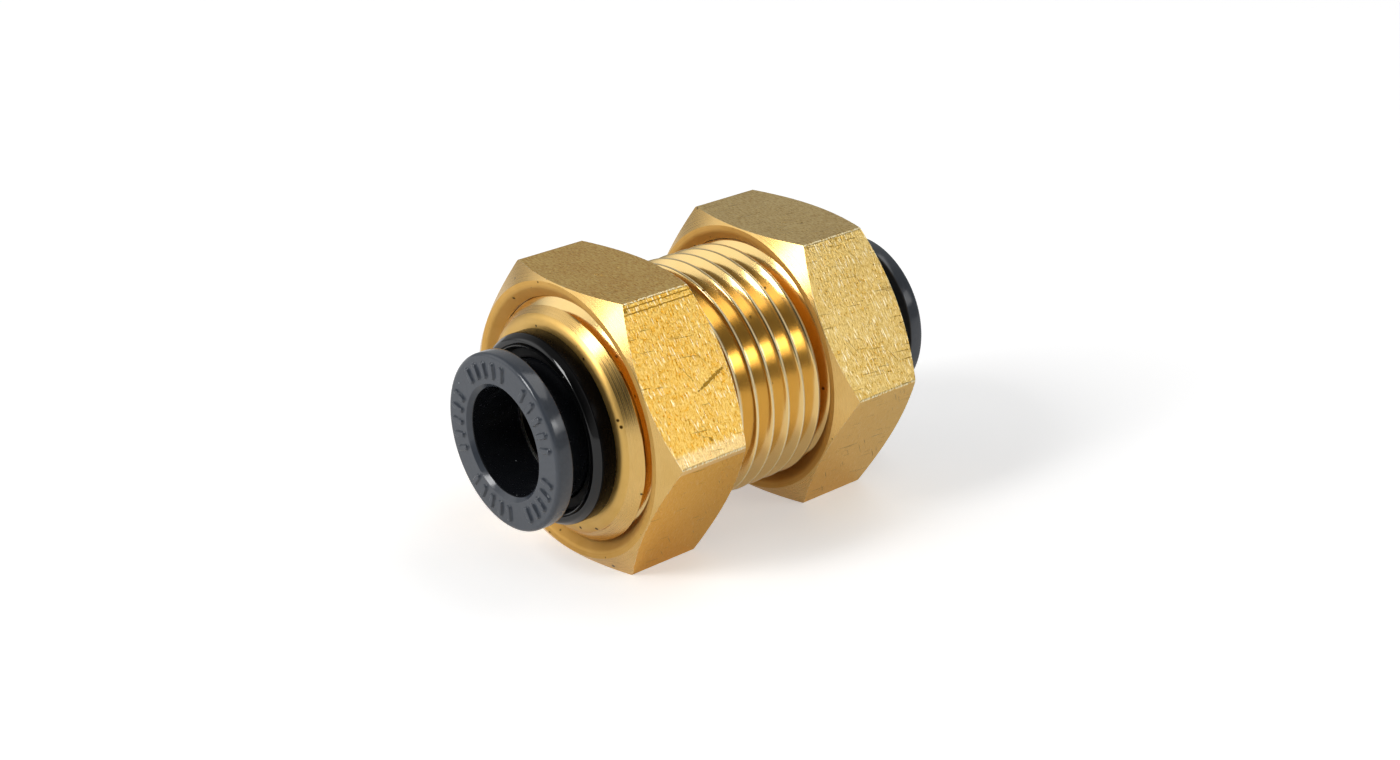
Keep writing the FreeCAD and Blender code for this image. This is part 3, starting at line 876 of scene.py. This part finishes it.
def studioFloor(look):
    # matt white paper: takes the shadow, and is lifted to white where the camera or metal sees it
    material, tree = newMaterial("mattWhitePaper")
    path = addNode(tree, "ShaderNodeLightPath").outputs
    bounced = addNode(tree, "ShaderNodeMath", {0: path["Is Glossy Ray"], 1: path["Is Transmission Ray"]},
                      operation="MAXIMUM").outputs[0]
    mirrored = addNode(tree, "ShaderNodeMath", {0: bounced, 1: look["mirrorLift"]},
                       operation="MULTIPLY").outputs[0]
    lift = addNode(tree, "ShaderNodeMath", {0: path["Is Camera Ray"], 1: look["lift"], 2: mirrored},
                   operation="MULTIPLY_ADD").outputs[0]
    shader = addNode(tree, "ShaderNodeBsdfPrincipled", {
        "Base Color": linearColour(look["colour"]), "Roughness": look["roughness"],
        "Specular IOR Level": 0.0, "Emission Color": (1, 1, 1, 1), "Emission Strength": lift})
    endMaterial(tree, shader)
    mesh = bpy.data.meshes.new("studioFloor")
    corners = np.array([(-1, -1), (1, -1), (1, 1), (-1, 1)]) * look["reach"]
    mesh.from_pydata([(x, y, cadBox[0].z) for x, y in corners], [], [(0, 1, 2, 3)])
    mesh.materials.append(material)
    floor = bpy.data.objects.new("studioFloor", mesh)
    bpy.context.scene.collection.objects.link(floor)


softboxes = {  # direction from the fitting, distance and size in metres, radiance
    "keySoftbox": {"toward": (-0.81, 0.16, 0.56), "distance": 0.7, "size": (0.2, 0.4), "radiance": 10.5},
    "topSoftbox": {"toward": (0.42, -0.1, 0.9), "distance": 0.9, "size": (0.55, 0.4), "radiance": 1.9},
    "frontSoftbox": {"toward": (0.51, -0.77, 0.4), "distance": 0.8, "size": (0.42, 0.19), "radiance": 2.0},
    "frontSoftboxMiddle": {"toward": (0.41, -0.79, 0.456), "distance": 0.79, "size": (0.14, 0.13),
                           "radiance": 4.0},
}


def addSoftbox(name, box):
    lamp = bpy.data.lights.new(name, "AREA")
    lamp.shape = "RECTANGLE"
    lamp.size, lamp.size_y = box["size"]
    lamp.energy = box["radiance"] * math.pi * box["size"][0] * box["size"][1]
    item = bpy.data.objects.new(name, lamp)
    toward = Vector(box["toward"]).normalized()
    turn = toward.to_track_quat("Z", "Y").to_matrix().to_4x4()
    item.matrix_world = Matrix.Translation(toward * box["distance"]) @ turn
    bpy.context.scene.collection.objects.link(item)


roomLook = {  # brightness of the room by direction: a level, and lobes that add to it
    "level": 0.36,
    "lobes": [  # direction of the middle, cosine at the edge, brightness added
        ((-0.58, 0.72, 0.4), 0.87, 0.9),
        ((-0.78, -0.38, 0.46), 0.76, -0.34),
        ((0.6, -0.6, 0.5), 0.7, -0.2),
        ((0.6, 0.7, 0.4), 0.8, 0.12),
        ((-0.1, 0.2, 1), 0.6, -0.2),
    ],
}


def studioRoom(look):
    world = bpy.data.worlds.new("studioRoom")
    world.use_nodes = True
    tree = world.node_tree
    tree.nodes.clear()
    direction = addNode(tree, "ShaderNodeTexCoord").outputs["Generated"]
    total = look["level"]
    for toward, edge, gain in look["lobes"]:
        facing = addNode(tree, "ShaderNodeVectorMath", {0: direction, 1: Vector(toward).normalized()},
                         operation="DOT_PRODUCT").outputs["Value"]
        lobe = addNode(tree, "ShaderNodeMapRange", {0: facing, 1: edge, 2: 1.0, 3: 0.0, 4: gain},
                       interpolation_type="SMOOTHSTEP").outputs[0]
        total = addNode(tree, "ShaderNodeMath", {0: lobe, 1: total}, operation="ADD").outputs[0]
    shade = addNode(tree, "ShaderNodeBackground", {"Color": (1, 1, 1, 1), "Strength": total})
    addNode(tree, "ShaderNodeOutputWorld", {"Surface": shade.outputs[0]})
    bpy.context.scene.world = world


cameraFit = {  # the photograph's view: angles in degrees, distances in millimetres
    "azimuth": -39.808,
    "elevation": 23.814,
    "roll": -1.274,
    "distance": 194.39,
    "across": 0.497,
    "upward": -0.509,
    "lens": 54.976,
    "sensor": 36.0,
    "nearest": 5.0,  # nothing nearer than that is drawn
}


def addCamera(fit):
    azimuth, elevation, roll = (math.radians(fit[key]) for key in ("azimuth", "elevation", "roll"))
    back = Vector((math.sin(azimuth) * math.cos(elevation), -math.cos(azimuth) * math.cos(elevation),
                   math.sin(elevation)))
    level = Vector((math.cos(azimuth), math.sin(azimuth), 0))
    above = back.cross(level)
    right = level * math.cos(roll) + above * math.sin(roll)
    up = above * math.cos(roll) - level * math.sin(roll)
    place = (back * fit["distance"] + right * fit["across"] + up * fit["upward"]) * mm
    data = bpy.data.cameras.new("photoCamera")
    data.lens, data.sensor_width, data.sensor_fit = fit["lens"], fit["sensor"], "HORIZONTAL"
    data.clip_start = fit["nearest"] * mm
    camera = bpy.data.objects.new("photoCamera", data)
    turn = Matrix((right, up, back)).transposed().to_4x4()
    camera.matrix_world = Matrix.Translation(place) @ turn
    bpy.context.scene.collection.objects.link(camera)
    bpy.context.scene.camera = camera


studioFloor(floorLook)
for name, box in softboxes.items():
    addSoftbox(name, box)
studioRoom(roomLook)
addCamera(cameraFit)
bpy.context.scene.view_settings.view_transform = "Standard"
bpy.context.scene.cycles.glossy_bounces = 10  # light turns several times in the thread's groove
print("floor, light and camera placed")
